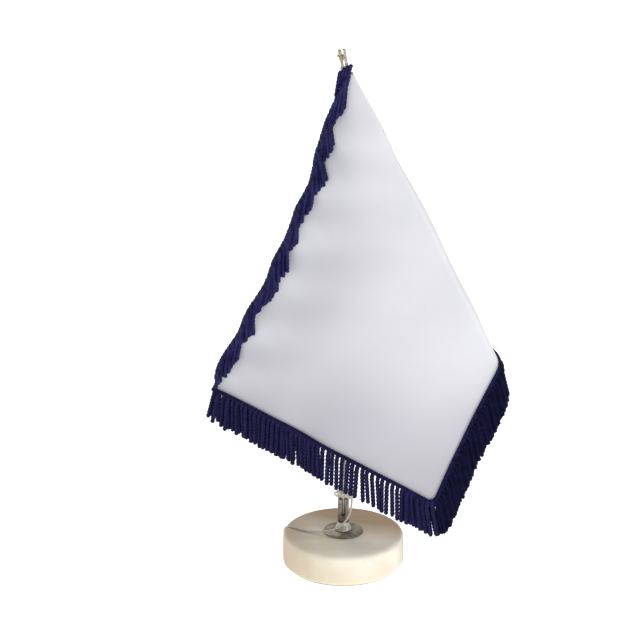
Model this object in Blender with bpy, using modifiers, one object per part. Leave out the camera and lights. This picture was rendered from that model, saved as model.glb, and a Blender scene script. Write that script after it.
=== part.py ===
"""Desk flag stand: wooden foot, swivelling socket, slotted tube pole and a fringed, draped flag.

Metres, +Z up. The origin is the centre of the foot's underside, -Y is the side the flag faces.
"""

import math

import bmesh
import bpy
import numpy as np
from mathutils import Vector

GAP = 0.0003  # between neighbouring pieces

# Foot
BASE_DIAMETER = 0.080
BASE_HEIGHT = 0.0207
BASE_TOP_ROUND = 0.0060
BASE_BOTTOM_ROUND = 0.0015
FELT_MARGIN = 0.0030
FELT_THICKNESS = 0.0015
COUNTERBORE_DEPTH = 0.0050
COUNTERBORE_CLEARANCE = 0.0010

# Screw that holds the socket down
SCREW_DIAMETER = 0.0040
SCREW_HEAD_DIAMETER = 0.0075
SCREW_HEAD_HEIGHT = 0.0024
SCREW_ENGAGEMENT = 0.0034
WASHER_DIAMETER = 0.0110
WASHER_THICKNESS = 0.0010
DRIVER_SLOT_WIDTH = 0.0011
DRIVER_SLOT_DEPTH = 0.0012

# Flange plate and socket
FLANGE_DIAMETER = 0.0260
FLANGE_THICKNESS = 0.0012
FLANGE_CHAMFER = 0.0004
FOOT_DIAMETER = 0.0110
FOOT_HEIGHT = 0.0054
SOCKET_WALL = 0.0010
SOCKET_CLEARANCE = 0.0005
SOCKET_HEIGHT = 0.0165
SOCKET_SLOT_WIDTH = 0.0020
SOCKET_SLOT_DEPTH = 0.0105
SOCKET_HOLE_DIAMETER = 0.0027

# Pole
POLE_DIAMETER = 0.0044
POLE_WALL = 0.0005
POLE_LENGTH = 0.3165
TIP_SLOT_DEPTH = 0.0130
CAP_FLANGE = 0.0010
CAP_SPIGOT = 0.0045

# Flag, sizes as cut
FLAG_WIDTH = 0.228  # along the top and bottom edges
FLAG_HOIST = 0.163  # along the pole
CLOTH_THICKNESS = 0.0009
FLAG_BELOW_TIP = 0.0110
SLEEVE_WALL = 0.0004
CORD_DIAMETER = 0.0014
HEADING_WIDTH = 0.0030
HEADING_THICKNESS = 0.0006
FRINGE_LENGTH = 0.0250
FRINGE_THICKNESS = 0.0018
TOP_FRINGE_THICKNESS = 0.0012
FRINGE_SPLAY = math.radians(10.0)  # of the strands on the bottom edge, out from straight down

# Drape of the flag: a cone of cloth whose point is the flag's top corner
LEAN = math.radians(7.4)  # of the front panel, out from the pole at its foot
PANEL_YAW = math.radians(12.2)  # of the front panel, towards the left
LEFT_SWEEP = math.radians(22.2)  # of the flag's top edge, to the left of straight down
FRONT_SWEEP = math.radians(27.2)  # where the fold begins, to the right of straight down
FOLD_REACH = math.radians(6.3)
RETURN_SWEEP = math.radians(24.0)
FRONT_BULGE = math.radians(2.3)
HOIST_BEARING = math.radians(-57.0)  # where the hoist leaves the pole, seen from above
RIGHT_ANGLE = math.pi / 2
DRAPE_SAMPLES = 240
SOLVER_STEPS = 40

# Knot and crimp
KNOT_HEIGHT = 0.0050
KNOT_WIDTH = 0.0022
KNOT_ABOVE_SOCKET = 0.0022
CRIMP_DIAMETER = 0.0026
CRIMP_HEIGHT = 0.0034
END_KNOT_DIAMETER = 0.0028

# Heights and radii that follow
POLE_RADIUS = POLE_DIAMETER / 2
CORD_RADIUS = CORD_DIAMETER / 2
BASE_FLOOR = FELT_THICKNESS + GAP
BASE_TOP = BASE_FLOOR + BASE_HEIGHT
FLANGE_FLOOR = BASE_TOP + GAP
FLANGE_TOP = FLANGE_FLOOR + FLANGE_THICKNESS
FOOT_FLOOR = FLANGE_TOP + GAP
FOOT_TOP = FOOT_FLOOR + FOOT_HEIGHT
SOCKET_FLOOR = FOOT_TOP + GAP
SOCKET_TOP = SOCKET_FLOOR + SOCKET_HEIGHT
SOCKET_INNER = POLE_RADIUS + SOCKET_CLEARANCE
SOCKET_OUTER = SOCKET_INNER + SOCKET_WALL
POLE_FLOOR = SOCKET_FLOOR + CAP_FLANGE + GAP
POLE_TIP = POLE_FLOOR + POLE_LENGTH
KNOT_FLOOR = SOCKET_TOP + KNOT_ABOVE_SOCKET
KNOT_TOP = KNOT_FLOOR + KNOT_HEIGHT
SLEEVE_POLE_HOLE = POLE_RADIUS + GAP
SLEEVE_CORD_HOLE = CORD_RADIUS + GAP
CHANNEL_OFFSET = SLEEVE_POLE_HOLE + SLEEVE_WALL + SLEEVE_CORD_HOLE
HOIST_OFFSET = CHANNEL_OFFSET + SLEEVE_CORD_HOLE + SLEEVE_WALL + GAP + CLOTH_THICKNESS / 2
FLAG_TOP = POLE_TIP - FLAG_BELOW_TIP
BEARING = Vector((math.cos(HOIST_BEARING), math.sin(HOIST_BEARING), 0))
CHANNEL = BEARING * CHANNEL_OFFSET
FLAG_CORNER = BEARING * HOIST_OFFSET + Vector((0, 0, FLAG_TOP))
HEADING_LIFT = CLOTH_THICKNESS / 2 + GAP + HEADING_THICKNESS / 2
TOP_FRINGE_LIFT = HEADING_LIFT + HEADING_THICKNESS / 2 + GAP + TOP_FRINGE_THICKNESS / 2

# The front panel's own directions
UP = Vector((0, 0, 1))
FACING = Vector((-math.sin(PANEL_YAW), -math.cos(PANEL_YAW), 0))
ACROSS = UP.cross(FACING)
DOWN_PANEL = FACING * math.sin(LEAN) - UP * math.cos(LEAN)
PANEL_NORMAL = FACING * math.cos(LEAN) + UP * math.sin(LEAN)

COLLECTION = "desk_flag_stand"


def clear_scene():
    for obj in list(bpy.data.objects):
        bpy.data.objects.remove(obj)


def make_collection(name):
    collection = bpy.data.collections.new(name)
    bpy.context.scene.collection.children.link(collection)
    return collection


def make_material(name, colour, roughness, metallic=0.0):
    material = bpy.data.materials.new(name)
    material.use_nodes = True
    shader = material.node_tree.nodes["Principled BSDF"]
    shader.inputs["Base Color"].default_value = (*colour, 1)
    shader.inputs["Roughness"].default_value = roughness
    shader.inputs["Metallic"].default_value = metallic
    return material


def add_object(name, data, material, location=(0, 0, 0)):
    obj = bpy.data.objects.new(name, data)
    obj.location = location
    data.materials.append(material)
    PARTS.objects.link(obj)
    return obj


def turned(name, profile, material, z=0.0, steps=40, closed=False):
    """A turned piece: profile is (radius, height) points that run down its outer side."""
    mesh = bpy.data.meshes.new(name)
    shape = bmesh.new()
    points = [shape.verts.new((radius, 0, height)) for radius, height in profile]
    for first, second in zip(points, points[1:]):
        shape.edges.new((first, second))
    if closed:
        shape.edges.new((points[-1], points[0]))
    shape.to_mesh(mesh)
    shape.free()
    obj = add_object(name, mesh, material, (0, 0, z))
    screw = obj.modifiers.new("turn", "SCREW")
    screw.steps = steps
    screw.render_steps = steps
    screw.use_merge_vertices = True
    screw.merge_threshold = 0.00001
    screw.use_smooth_shade = True
    return obj


def arc(centre, radius, start, end, count):
    """Points of an arc in the (radius, height) plane, both ends included."""
    angles = [start + (end - start) * i / count for i in range(count + 1)]
    return [(centre[0] + radius * math.cos(a), centre[1] + radius * math.sin(a)) for a in angles]


def cut(obj, cutter_mesh, location, name):
    cutter = bpy.data.objects.new(name, cutter_mesh)
    cutter.location = location
    cutter.hide_render = True
    cutter.display_type = "WIRE"
    CUTTERS.objects.link(cutter)
    boolean = obj.modifiers.new(name, "BOOLEAN")
    boolean.operation = "DIFFERENCE"
    boolean.solver = "EXACT"
    boolean.object = cutter


def box_mesh(name, size):
    mesh = bpy.data.meshes.new(name)
    shape = bmesh.new()
    bmesh.ops.create_cube(shape, size=1)
    bmesh.ops.scale(shape, vec=size, verts=shape.verts)
    shape.to_mesh(mesh)
    shape.free()
    return mesh


def cylinder_mesh(name, radius, length, along_y=False):
    mesh = bpy.data.meshes.new(name)
    shape = bmesh.new()
    bmesh.ops.create_cone(shape, cap_ends=True, segments=32, radius1=radius, radius2=radius, depth=length)
    if along_y:
        for vert in shape.verts:
            vert.co = Vector((vert.co.x, -vert.co.z, vert.co.y))
    shape.to_mesh(mesh)
    shape.free()
    return mesh


def through_points(route, count):
    """Evenly spaced points on a smooth curve through a route's own points."""
    ends = [2 * route[0] - route[1], *route, 2 * route[-1] - route[-2]]
    dense = []
    for before, start, end, after in zip(ends, ends[1:], ends[2:], ends[3:]):
        for step in range(12):
            t = step / 12
            pull = (end - before) * t + (2 * before - 5 * start + 4 * end - after) * t**2
            dense.append(start + (pull + (3 * start - before - 3 * end + after) * t**3) / 2)
    dense.append(route[-1])
    walked = np.cumsum([0.0] + [(b - a).length for a, b in zip(dense, dense[1:])])
    wanted = np.linspace(0, walked[-1], count)
    return [Vector([np.interp(d, walked, [p[axis] for p in dense]) for axis in range(3)]) for d in wanted]


def cord(name, points, material, cyclic=False):
    curve = bpy.data.curves.new(name, "CURVE")
    curve.dimensions = "3D"
    curve.bevel_depth = CORD_RADIUS
    curve.bevel_resolution = 2
    curve.use_fill_caps = not cyclic
    spline = curve.splines.new("POLY")
    spline.points.add(len(points) - 1)
    for place, point in zip(spline.points, points):
        place.co = (*point, 1)
    spline.use_cyclic_u = cyclic
    return add_object(name, curve, material)


# ---- Wooden foot and what is under it ----


def base_disc(material):
    outer = BASE_DIAMETER / 2
    hole = SCREW_DIAMETER / 2 + GAP
    round_top = BASE_TOP_ROUND
    round_low = BASE_BOTTOM_ROUND
    profile = [(hole, BASE_HEIGHT)]
    profile += arc((outer - round_top, BASE_HEIGHT - round_top), round_top, RIGHT_ANGLE, 0, 6)
    profile += arc((outer - round_low, round_low), round_low, 0, -RIGHT_ANGLE, 3)
    recess = WASHER_DIAMETER / 2 + COUNTERBORE_CLEARANCE
    profile += [(recess, 0), (recess, COUNTERBORE_DEPTH), (hole, COUNTERBORE_DEPTH)]
    turned("base_disc", profile, material, z=BASE_FLOOR, steps=72, closed=True)


def felt_pad(material):
    radius = BASE_DIAMETER / 2 - FELT_MARGIN
    profile = [(0, FELT_THICKNESS), (radius, FELT_THICKNESS), (radius, 0), (0, 0)]
    turned("felt_pad", profile, material, steps=60)


def washer(material):
    top = BASE_FLOOR + COUNTERBORE_DEPTH - GAP
    hole = SCREW_DIAMETER / 2 + GAP
    rim = WASHER_DIAMETER / 2
    low = top - WASHER_THICKNESS
    turned("base_washer", [(hole, top), (rim, top), (rim, low), (hole, low)], material, closed=True)


def base_screw(material):
    head_top = BASE_FLOOR + COUNTERBORE_DEPTH - 2 * GAP - WASHER_THICKNESS
    head_low = head_top - SCREW_HEAD_HEIGHT
    shank = SCREW_DIAMETER / 2
    tip = FOOT_FLOOR + SCREW_ENGAGEMENT
    head = SCREW_HEAD_DIAMETER / 2
    lip = SCREW_HEAD_HEIGHT / 3
    profile = [(0, tip), (shank - GAP, tip), (shank, tip - GAP), (shank, head_top), (head, head_top)]
    profile += [(head, head_low + lip), (head - lip, head_low), (0, head_low)]
    screw = turned("base_screw", profile, material, steps=32)
    slot = box_mesh("driver_slot", (3 * head, DRIVER_SLOT_WIDTH, 2 * DRIVER_SLOT_DEPTH))
    cut(screw, slot, (0, 0, head_low), "cutter_driver_slot")


# ---- Flange and socket ----


def flange_plate(material):
    hole = SCREW_DIAMETER / 2 + GAP
    rim = FLANGE_DIAMETER / 2
    shoulder = FLANGE_TOP - FLANGE_CHAMFER
    profile = [(hole, FLANGE_TOP), (rim - FLANGE_CHAMFER, FLANGE_TOP), (rim, shoulder)]
    profile += [(rim, FLANGE_FLOOR), (hole, FLANGE_FLOOR)]
    turned("flange_plate", profile, material, closed=True)


def socket_foot(material):
    screw_hole = SCREW_DIAMETER / 2 + GAP
    hole_top = FOOT_FLOOR + SCREW_ENGAGEMENT + GAP
    waist = FOOT_FLOOR + FOOT_HEIGHT * 0.7
    profile = [(0, FOOT_TOP), (SOCKET_OUTER, FOOT_TOP), (SOCKET_OUTER, waist)]
    profile += [(FOOT_DIAMETER / 2, FOOT_FLOOR + FOOT_HEIGHT * 0.15), (FOOT_DIAMETER / 2, FOOT_FLOOR)]
    profile += [(screw_hole, FOOT_FLOOR), (screw_hole, hole_top), (0, hole_top)]
    turned("socket_foot", profile, material)


def socket_tube(material):
    profile = [(SOCKET_INNER, SOCKET_TOP), (SOCKET_OUTER, SOCKET_TOP)]
    profile += [(SOCKET_OUTER, SOCKET_FLOOR), (SOCKET_INNER, SOCKET_FLOOR)]
    tube = turned("socket_tube", profile, material, closed=True)
    slot_end = SOCKET_TOP - SOCKET_SLOT_DEPTH
    reach = 2 * SOCKET_OUTER
    slot = box_mesh("socket_slot", (SOCKET_SLOT_WIDTH, reach, 2 * SOCKET_SLOT_DEPTH))
    cut(tube, slot, (0, -reach / 2, SOCKET_TOP), "cutter_socket_slot")
    hole = cylinder_mesh("socket_hole", SOCKET_HOLE_DIAMETER / 2, reach, along_y=True)
    cut(tube, hole, (0, -reach / 2, slot_end), "cutter_socket_hole")


# ---- Pole ----


def pole_tube(material):
    inner = POLE_RADIUS - POLE_WALL
    profile = [(inner, POLE_TIP), (POLE_RADIUS, POLE_TIP)]
    profile += [(POLE_RADIUS, POLE_FLOOR), (inner, POLE_FLOOR)]
    pole = turned("pole_tube", profile, material, steps=24, closed=True)
    width = CORD_DIAMETER + 2 * GAP
    slot = box_mesh("tip_slot", (width, 3 * POLE_DIAMETER, 2 * TIP_SLOT_DEPTH))
    cut(pole, slot, (0, 0, POLE_TIP), "cutter_tip_slot")


def pole_foot_cap(material):
    spigot = POLE_RADIUS - POLE_WALL - GAP
    low = SOCKET_FLOOR
    shoulder = low + CAP_FLANGE
    top = shoulder + CAP_SPIGOT
    profile = [(0, top), (spigot, top), (spigot, shoulder), (POLE_RADIUS, shoulder)]
    profile += [(POLE_RADIUS, low), (0, low)]
    turned("pole_foot_cap", profile, material, steps=24)


# ---- Drape of the flag ----


def bezier(a, b, c, d, t):
    s = 1 - t
    return s**3 * a + 3 * s**2 * t * b + 3 * s * t**2 * c + t**3 * d


def to_direction(sweep, depth):
    """Unit direction from the flag's top corner: sweep to the right in the panel, depth behind it."""
    flat = ACROSS * math.sin(sweep) + DOWN_PANEL * math.cos(sweep)
    return flat * math.cos(depth) - PANEL_NORMAL * math.sin(depth)


def drape_samples(return_depth):
    """Directions from the flag's top edge round its front and fold to the hoist, straight down."""
    directions = []
    for i in range(DRAPE_SAMPLES):
        t = i / DRAPE_SAMPLES
        sweep = -LEFT_SWEEP + t * (LEFT_SWEEP + FRONT_SWEEP)
        directions.append(to_direction(sweep, -FRONT_BULGE * math.sin(math.pi * t) ** 2))
    for i in range(DRAPE_SAMPLES + 1):
        t = i / DRAPE_SAMPLES
        sweep = bezier(FRONT_SWEEP, FRONT_SWEEP + FOLD_REACH, RETURN_SWEEP, 0, t)
        directions.append(to_direction(sweep, bezier(0, 0, return_depth, LEAN, t)))
    return directions


def swept_angles(directions):
    turns = [a.angle(b) for a, b in zip(directions, directions[1:])]
    return np.cumsum([0.0] + turns)


def solve_drape():
    """The return panel's depth at which the whole sweep is the flag's own right angle."""
    shallow = 0.0
    deep = math.radians(60)
    for _ in range(SOLVER_STEPS):
        middle = (shallow + deep) / 2
        if swept_angles(drape_samples(middle))[-1] < RIGHT_ANGLE:
            shallow = middle
        else:
            deep = middle
    directions = drape_samples((shallow + deep) / 2)
    return np.array(directions), swept_angles(directions)


def drape_direction(angle):
    """Direction at this angle from the hoist, measured on the flat flag."""
    swept = RIGHT_ANGLE - angle
    return Vector([np.interp(swept, DRAPE_ANGLES, DRAPE_DIRECTIONS[:, axis]) for axis in range(3)]).normalized()


def flag_point(u, v, lift=0.0):
    """Where a point of the flat flag lies: u from the hoist, v from the top edge, lift off its outer face."""
    angle = math.atan2(u, v)
    small = math.radians(0.4)
    low = drape_direction(max(angle - small, 0))
    high = drape_direction(min(angle + small, RIGHT_ANGLE))
    outward = (high - low).cross(drape_direction(angle)).normalized()
    return FLAG_CORNER + drape_direction(angle) * math.hypot(u, v) + outward * lift


def sheet(name, columns, rows, place, thickness, material):
    """A thin closed sheet: a grid whose points place(s, t) sets, s and t from 0 to 1."""
    mesh = bpy.data.meshes.new(name)
    shape = bmesh.new()
    bmesh.ops.create_grid(shape, x_segments=columns, y_segments=rows, size=1)
    for vert in shape.verts:
        vert.co = place((vert.co.x + 1) / 2, (vert.co.y + 1) / 2)
    shape.to_mesh(mesh)
    shape.free()
    mesh.shade_smooth()
    obj = add_object(name, mesh, material)
    solid = obj.modifiers.new("thickness", "SOLIDIFY")
    solid.thickness = thickness
    solid.offset = 0
    solid.use_even_offset = True
    return obj


def flag_reach(angle):
    """How far the flat flag reaches from its top corner at this angle from the hoist."""
    along = FLAG_HOIST / max(math.cos(angle), 1e-9)
    across = FLAG_WIDTH / max(math.sin(angle), 1e-9)
    return min(along, across)


def cloth_panel(name, first_angle, last_angle, inner, columns, material):
    """Part of the flag between two angles from the hoist, from inner out to the flag's edge."""
    corner = math.atan2(FLAG_WIDTH, FLAG_HOIST)
    step = (last_angle - first_angle) / columns
    nearest = round((corner - first_angle) / step)

    def place(s, t):
        column = round(s * columns)
        angle = corner if column == nearest else first_angle + column * step
        reach = inner + t * (flag_reach(angle) - inner)
        return flag_point(reach * math.sin(angle), reach * math.cos(angle))

    sheet(name, columns, 5, place, CLOTH_THICKNESS, material)


def fold_angle():
    """Angle from the hoist at which the front panel meets the fold."""
    return RIGHT_ANGLE - DRAPE_ANGLES[DRAPE_SAMPLES]


def flag_cloth(material):
    fold = fold_angle()
    half_gap = math.radians(0.6)
    cloth_panel("flag_front", fold + half_gap, RIGHT_ANGLE, 0.006, 26, material)
    turned_back = fold - math.radians(3.5)
    cloth_panel("flag_return", 0.0, turned_back, 0.030, 20, material)


def hoist_sleeve(material):
    """The hem sewn round the pole and the halyard: a drop-shaped tube with two passages."""
    outer_pole = SLEEVE_POLE_HOLE + SLEEVE_WALL
    outer_cord = SLEEVE_CORD_HOLE + SLEEVE_WALL
    spread = math.acos((outer_pole - outer_cord) / CHANNEL_OFFSET)
    outline = []
    for i in range(19):
        a = HOIST_BEARING + spread + (2 * math.pi - 2 * spread) * i / 18
        outline.append((outer_pole * math.cos(a), outer_pole * math.sin(a)))
    for i in range(9):
        a = HOIST_BEARING - spread + 2 * spread * i / 8
        outline.append((CHANNEL.x + outer_cord * math.cos(a), CHANNEL.y + outer_cord * math.sin(a)))
    rings = [outline]
    for centre, radius in ((Vector((0, 0, 0)), SLEEVE_POLE_HOLE), (CHANNEL, SLEEVE_CORD_HOLE)):
        turn = [2 * math.pi * i / 20 for i in range(20)]
        rings.append([(centre.x + radius * math.cos(a), centre.y + radius * math.sin(a)) for a in turn])
    curve = bpy.data.curves.new("hoist_sleeve", "CURVE")
    curve.dimensions = "2D"
    curve.fill_mode = "BOTH"
    length = FLAG_HOIST - 2 * GAP
    curve.extrude = length / 2
    for ring in rings:
        spline = curve.splines.new("POLY")
        spline.points.add(len(ring) - 1)
        for place, (x, y) in zip(spline.points, ring):
            place.co = (x, y, 0, 1)
        spline.use_cyclic_u = True
    add_object("hoist_sleeve", curve, material, (0, 0, FLAG_TOP - FLAG_HOIST / 2))


# ---- Fringe ----


def edge_ribbon(name, start, end, inward, columns, material):
    """The braided heading of the fringe, sewn along an edge of the flag's outer face."""
    first = Vector(start)
    along = Vector(end) - first
    into = Vector(inward) * HEADING_WIDTH

    def place(s, t):
        flat = first + along * s + into * t
        return flag_point(flat.x, flat.y, HEADING_LIFT)

    sheet(name, columns, 1, place, HEADING_THICKNESS, material)


def headings(material):
    end = 0.005
    edge_ribbon("top_heading", (end, 0), (FLAG_WIDTH - end, 0), (0, 1), 12, material)
    edge_ribbon("fly_heading", (FLAG_WIDTH, end), (FLAG_WIDTH, FLAG_HOIST - end), (-1, 0), 16, material)
    bottom = (FLAG_WIDTH - end, FLAG_HOIST)
    edge_ribbon("bottom_heading", bottom, (2 * end, FLAG_HOIST), (0, -1), 60, material)


def top_fringe(material):
    """Strands of the top edge, which lie over the front of the flag and point straight down it."""
    down = Vector((math.cos(LEFT_SWEEP), math.sin(LEFT_SWEEP)))
    first = 0.010
    last = FLAG_WIDTH - 0.013

    def place(s, t):
        flat = Vector((first + (last - first) * s, 0)) + down * (GAP + t * (FRINGE_LENGTH - GAP))
        return flag_point(flat.x, flat.y, TOP_FRINGE_LIFT)

    sheet("top_fringe", 20, 2, place, TOP_FRINGE_THICKNESS, material)


def hanging_fringe(name, start, end, columns, material, splay=0.0):
    """Strands that hang down from an edge of the flag, straight or splayed to the right."""
    first = Vector(start)
    along = Vector(end) - first
    clearance = 0.0021
    hang = ACROSS * math.sin(splay) - UP * math.cos(splay)

    def place(s, t):
        flat = first + along * s
        return flag_point(flat.x, flat.y) + hang * (clearance + t * (FRINGE_LENGTH - clearance))

    sheet(name, columns, 1, place, FRINGE_THICKNESS, material)


def fringes(material):
    end = 0.003
    top_fringe(material)
    hanging_fringe("fly_fringe", (FLAG_WIDTH, end), (FLAG_WIDTH, FLAG_HOIST - end), 14, material)
    fold = FLAG_HOIST * math.tan(fold_angle())
    corner = (FLAG_WIDTH - end, FLAG_HOIST)
    hanging_fringe("bottom_fringe", corner, (fold + 0.002, FLAG_HOIST), 10, material, FRINGE_SPLAY)
    hanging_fringe("return_fringe", (fold - 0.004, FLAG_HOIST), (0.010, FLAG_HOIST), 24, material)


# ---- Halyard ----


def halyard_tip(material):
    """From the sleeve up to the slot, through it and round one prong to the crimp."""
    tip = Vector((0, 0, POLE_TIP))
    route = [
        Vector((CHANNEL.x, CHANNEL.y, FLAG_TOP + 0.0008)),
        tip + Vector((0.0017, -0.0040, -0.0076)),
        tip + Vector((0.0005, -0.0038, -0.0058)),
        tip + Vector((0.0000, -0.0022, -0.0047)),
        tip + Vector((0.0000, 0.0004, -0.0044)),
        tip + Vector((-0.0001, 0.0027, -0.0044)),
        tip + Vector((-0.0016, 0.0039, -0.0044)),
        tip + Vector((-0.0035, 0.0030, -0.0044)),
        tip + Vector((-0.0043, 0.0010, -0.0043)),
        tip + Vector((-0.0041, -0.0012, -0.0041)),
    ]
    cord("halyard_tip", through_points(route, 26), material)


def tip_crimp(material):
    """The brass crimp on the halyard's end, which stops it at the slot."""
    rim = CRIMP_DIAMETER / 2
    half = CRIMP_HEIGHT / 2
    profile = [(0, half), (rim * 0.6, half), (rim, half * 0.5), (rim, -half * 0.5), (rim * 0.6, -half), (0, -half)]
    crimp = turned("tip_crimp", profile, material, steps=20)
    crimp.location = (-0.0036, -0.0034, POLE_TIP - 0.0037)


def halyard_run(material):
    """The length inside the sleeve."""
    top = FLAG_TOP - GAP
    points = [Vector((CHANNEL.x, CHANNEL.y, top - i * (FLAG_HOIST + 0.001) / 40)) for i in range(41)]
    cord("halyard_run", points, material)


def halyard_lower(material):
    """From the sleeve down beside the pole to the knot."""
    top = FLAG_TOP - FLAG_HOIST - 0.001 - 2 * GAP
    low = KNOT_TOP + GAP
    points = [Vector((CHANNEL.x, CHANNEL.y, top + (low - top) * i / 40)) for i in range(41)]
    cord("halyard_lower", points, material)


def tie_knot(material):
    """The turns of the knot round the pole."""
    inner = POLE_RADIUS + GAP
    middle = KNOT_WIDTH / 2
    swell = arc((inner + middle, 0), middle, RIGHT_ANGLE, -RIGHT_ANGLE, 6)
    stretch = KNOT_HEIGHT / KNOT_WIDTH
    profile = [(inner, KNOT_HEIGHT / 2)] + [(radius, height * stretch) for radius, height in swell]
    profile.append((inner, -KNOT_HEIGHT / 2))
    turned("tie_knot", profile, material, z=(KNOT_FLOOR + KNOT_TOP) / 2, steps=32, closed=True)


def tie_loop(name, side, material):
    """One loop of the bow, a closed ring of cord that hangs in front of the knot."""
    centre = Vector((side * 0.0038, -0.0061, (KNOT_FLOOR + KNOT_TOP) / 2 - 0.0004))
    points = []
    for i in range(26):
        a = 2 * math.pi * i / 26
        points.append(centre + Vector((0.0022 * math.cos(a), 0.0003 * math.sin(a), 0.0025 * math.sin(a))))
    cord(name, points, material, cyclic=True)


TAIL_ROUTE = [
    Vector((0.0056, -0.0012, 0.0497)),
    Vector((0.0056, -0.0026, 0.0470)),
    Vector((0.0054, -0.0040, 0.0438)),
    Vector((0.0048, -0.0053, 0.0402)),
    Vector((0.0036, -0.0066, 0.0366)),
    Vector((0.0016, -0.0078, 0.0334)),
    Vector((-0.0012, -0.0086, 0.0307)),
    Vector((-0.0050, -0.0088, 0.0283)),
    Vector((-0.0090, -0.0081, 0.0265)),
    Vector((-0.0132, -0.0066, 0.0254)),
    Vector((-0.0170, -0.0050, 0.0243)),
    Vector((-0.0210, -0.0032, 0.0236)),
    Vector((-0.0252, -0.0012, 0.0234)),
    Vector((-0.0296, 0.0016, 0.0234)),
    Vector((-0.0334, 0.0044, 0.0234)),
    Vector((-0.0368, 0.0068, 0.0225)),
    Vector((-0.0389, 0.0091, 0.0200)),
    Vector((-0.0393, 0.0115, 0.0165)),
    Vector((-0.0388, 0.0133, 0.0140)),
    Vector((-0.0382, 0.0149, 0.0118)),
]


def halyard_tail(material):
    """The free end: from the knot, round the socket, across the foot and over its edge."""
    cord("halyard_tail", through_points(TAIL_ROUTE, 60), material)


def tail_knot(material):
    mesh = bpy.data.meshes.new("tail_knot")
    shape = bmesh.new()
    bmesh.ops.create_uvsphere(shape, u_segments=12, v_segments=8, radius=END_KNOT_DIAMETER / 2)
    shape.to_mesh(mesh)
    shape.free()
    mesh.shade_smooth()
    end = TAIL_ROUTE[-1]
    outward = Vector((end.x, end.y, 0)).normalized() * (END_KNOT_DIAMETER / 2 - CORD_RADIUS)
    add_object("tail_knot", mesh, material, end + outward - Vector((0, 0, END_KNOT_DIAMETER / 2 + GAP)))


def build():
    wood = make_material("pale_wood", (0.78, 0.70, 0.56), 0.55)
    felt = make_material("felt", (0.16, 0.17, 0.16), 0.95)
    steel = make_material("zinc_steel", (0.50, 0.49, 0.46), 0.35, 1.0)
    plate = make_material("cast_plate", (0.36, 0.35, 0.32), 0.50, 1.0)
    bright = make_material("plated_tube", (0.66, 0.65, 0.60), 0.22, 1.0)
    brass = make_material("brass", (0.66, 0.55, 0.26), 0.30, 1.0)
    plug = make_material("plug_plastic", (0.08, 0.08, 0.08), 0.45)
    satin = make_material("white_satin", (0.86, 0.87, 0.92), 0.45)
    navy = make_material("navy_rayon", (0.012, 0.008, 0.075), 0.60)
    line = make_material("cream_cord", (0.80, 0.76, 0.68), 0.75)

    felt_pad(felt)
    base_disc(wood)
    washer(steel)
    base_screw(steel)
    flange_plate(plate)
    socket_foot(bright)
    socket_tube(bright)
    pole_tube(bright)
    pole_foot_cap(plug)
    tip_crimp(brass)
    halyard_tip(line)
    halyard_run(line)
    halyard_lower(line)
    tie_knot(line)
    tie_loop("tie_loop_left", -1, line)
    tie_loop("tie_loop_right", 1, line)
    halyard_tail(line)
    tail_knot(line)
    flag_cloth(satin)
    hoist_sleeve(satin)
    headings(navy)
    fringes(navy)


clear_scene()
PARTS = make_collection(COLLECTION)
CUTTERS = make_collection("cutters")
DRAPE_DIRECTIONS, DRAPE_ANGLES = solve_drape()
build()
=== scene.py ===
"""The looks of the desk flag stand: satin, bullion fringe, cords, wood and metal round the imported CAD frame.

Every length is in metres, in the CAD's own frame: +Z up, -Y the side that the flag's front faces.
"""

import math

import bmesh
import bpy
import numpy as np
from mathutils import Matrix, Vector


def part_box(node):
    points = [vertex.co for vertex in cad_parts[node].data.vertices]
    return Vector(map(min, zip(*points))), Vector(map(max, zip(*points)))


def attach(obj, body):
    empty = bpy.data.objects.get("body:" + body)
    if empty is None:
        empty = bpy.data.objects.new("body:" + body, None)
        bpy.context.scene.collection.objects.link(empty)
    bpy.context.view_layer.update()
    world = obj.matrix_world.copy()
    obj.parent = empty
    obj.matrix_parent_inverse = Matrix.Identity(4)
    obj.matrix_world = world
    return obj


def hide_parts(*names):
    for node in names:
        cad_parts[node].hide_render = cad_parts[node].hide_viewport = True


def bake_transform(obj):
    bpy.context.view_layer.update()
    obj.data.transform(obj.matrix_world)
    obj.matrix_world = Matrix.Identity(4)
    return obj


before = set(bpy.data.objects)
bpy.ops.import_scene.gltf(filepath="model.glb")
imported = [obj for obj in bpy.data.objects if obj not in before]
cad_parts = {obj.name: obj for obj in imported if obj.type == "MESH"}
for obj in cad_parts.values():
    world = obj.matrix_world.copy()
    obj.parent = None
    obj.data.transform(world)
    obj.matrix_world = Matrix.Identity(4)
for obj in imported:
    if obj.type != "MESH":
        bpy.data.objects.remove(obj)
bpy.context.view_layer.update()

# ---- Sizes shared with the CAD ----

POLE_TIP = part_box("pole_tube")[1].z
POLE_RADIUS = (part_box("pole_tube")[1].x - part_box("pole_tube")[0].x) / 2
POLE_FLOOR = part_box("pole_tube")[0].z
POLE_WALL = 0.0005
BASE_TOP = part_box("base_disc")[1].z
BASE_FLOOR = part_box("base_disc")[0].z
BASE_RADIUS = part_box("base_disc")[1].x
SLEEVE_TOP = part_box("hoist_sleeve")[1].z
SLEEVE_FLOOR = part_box("hoist_sleeve")[0].z
SOCKET_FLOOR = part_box("socket_tube")[0].z
SOCKET_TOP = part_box("socket_tube")[1].z
SOCKET_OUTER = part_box("socket_tube")[1].x
KNOT_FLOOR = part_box("tie_knot")[0].z
KNOT_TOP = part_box("tie_knot")[1].z
CORD_DIAMETER = 0.0014
CORD_RADIUS = CORD_DIAMETER / 2
CORD_LAY = {"lobes": 8, "depth": 0.07, "twist": 300}  # the plait that shows on its surface
CHANNEL = Vector(((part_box("halyard_run")[0].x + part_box("halyard_run")[1].x) / 2,
                  (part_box("halyard_run")[0].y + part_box("halyard_run")[1].y) / 2, 0))

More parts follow.
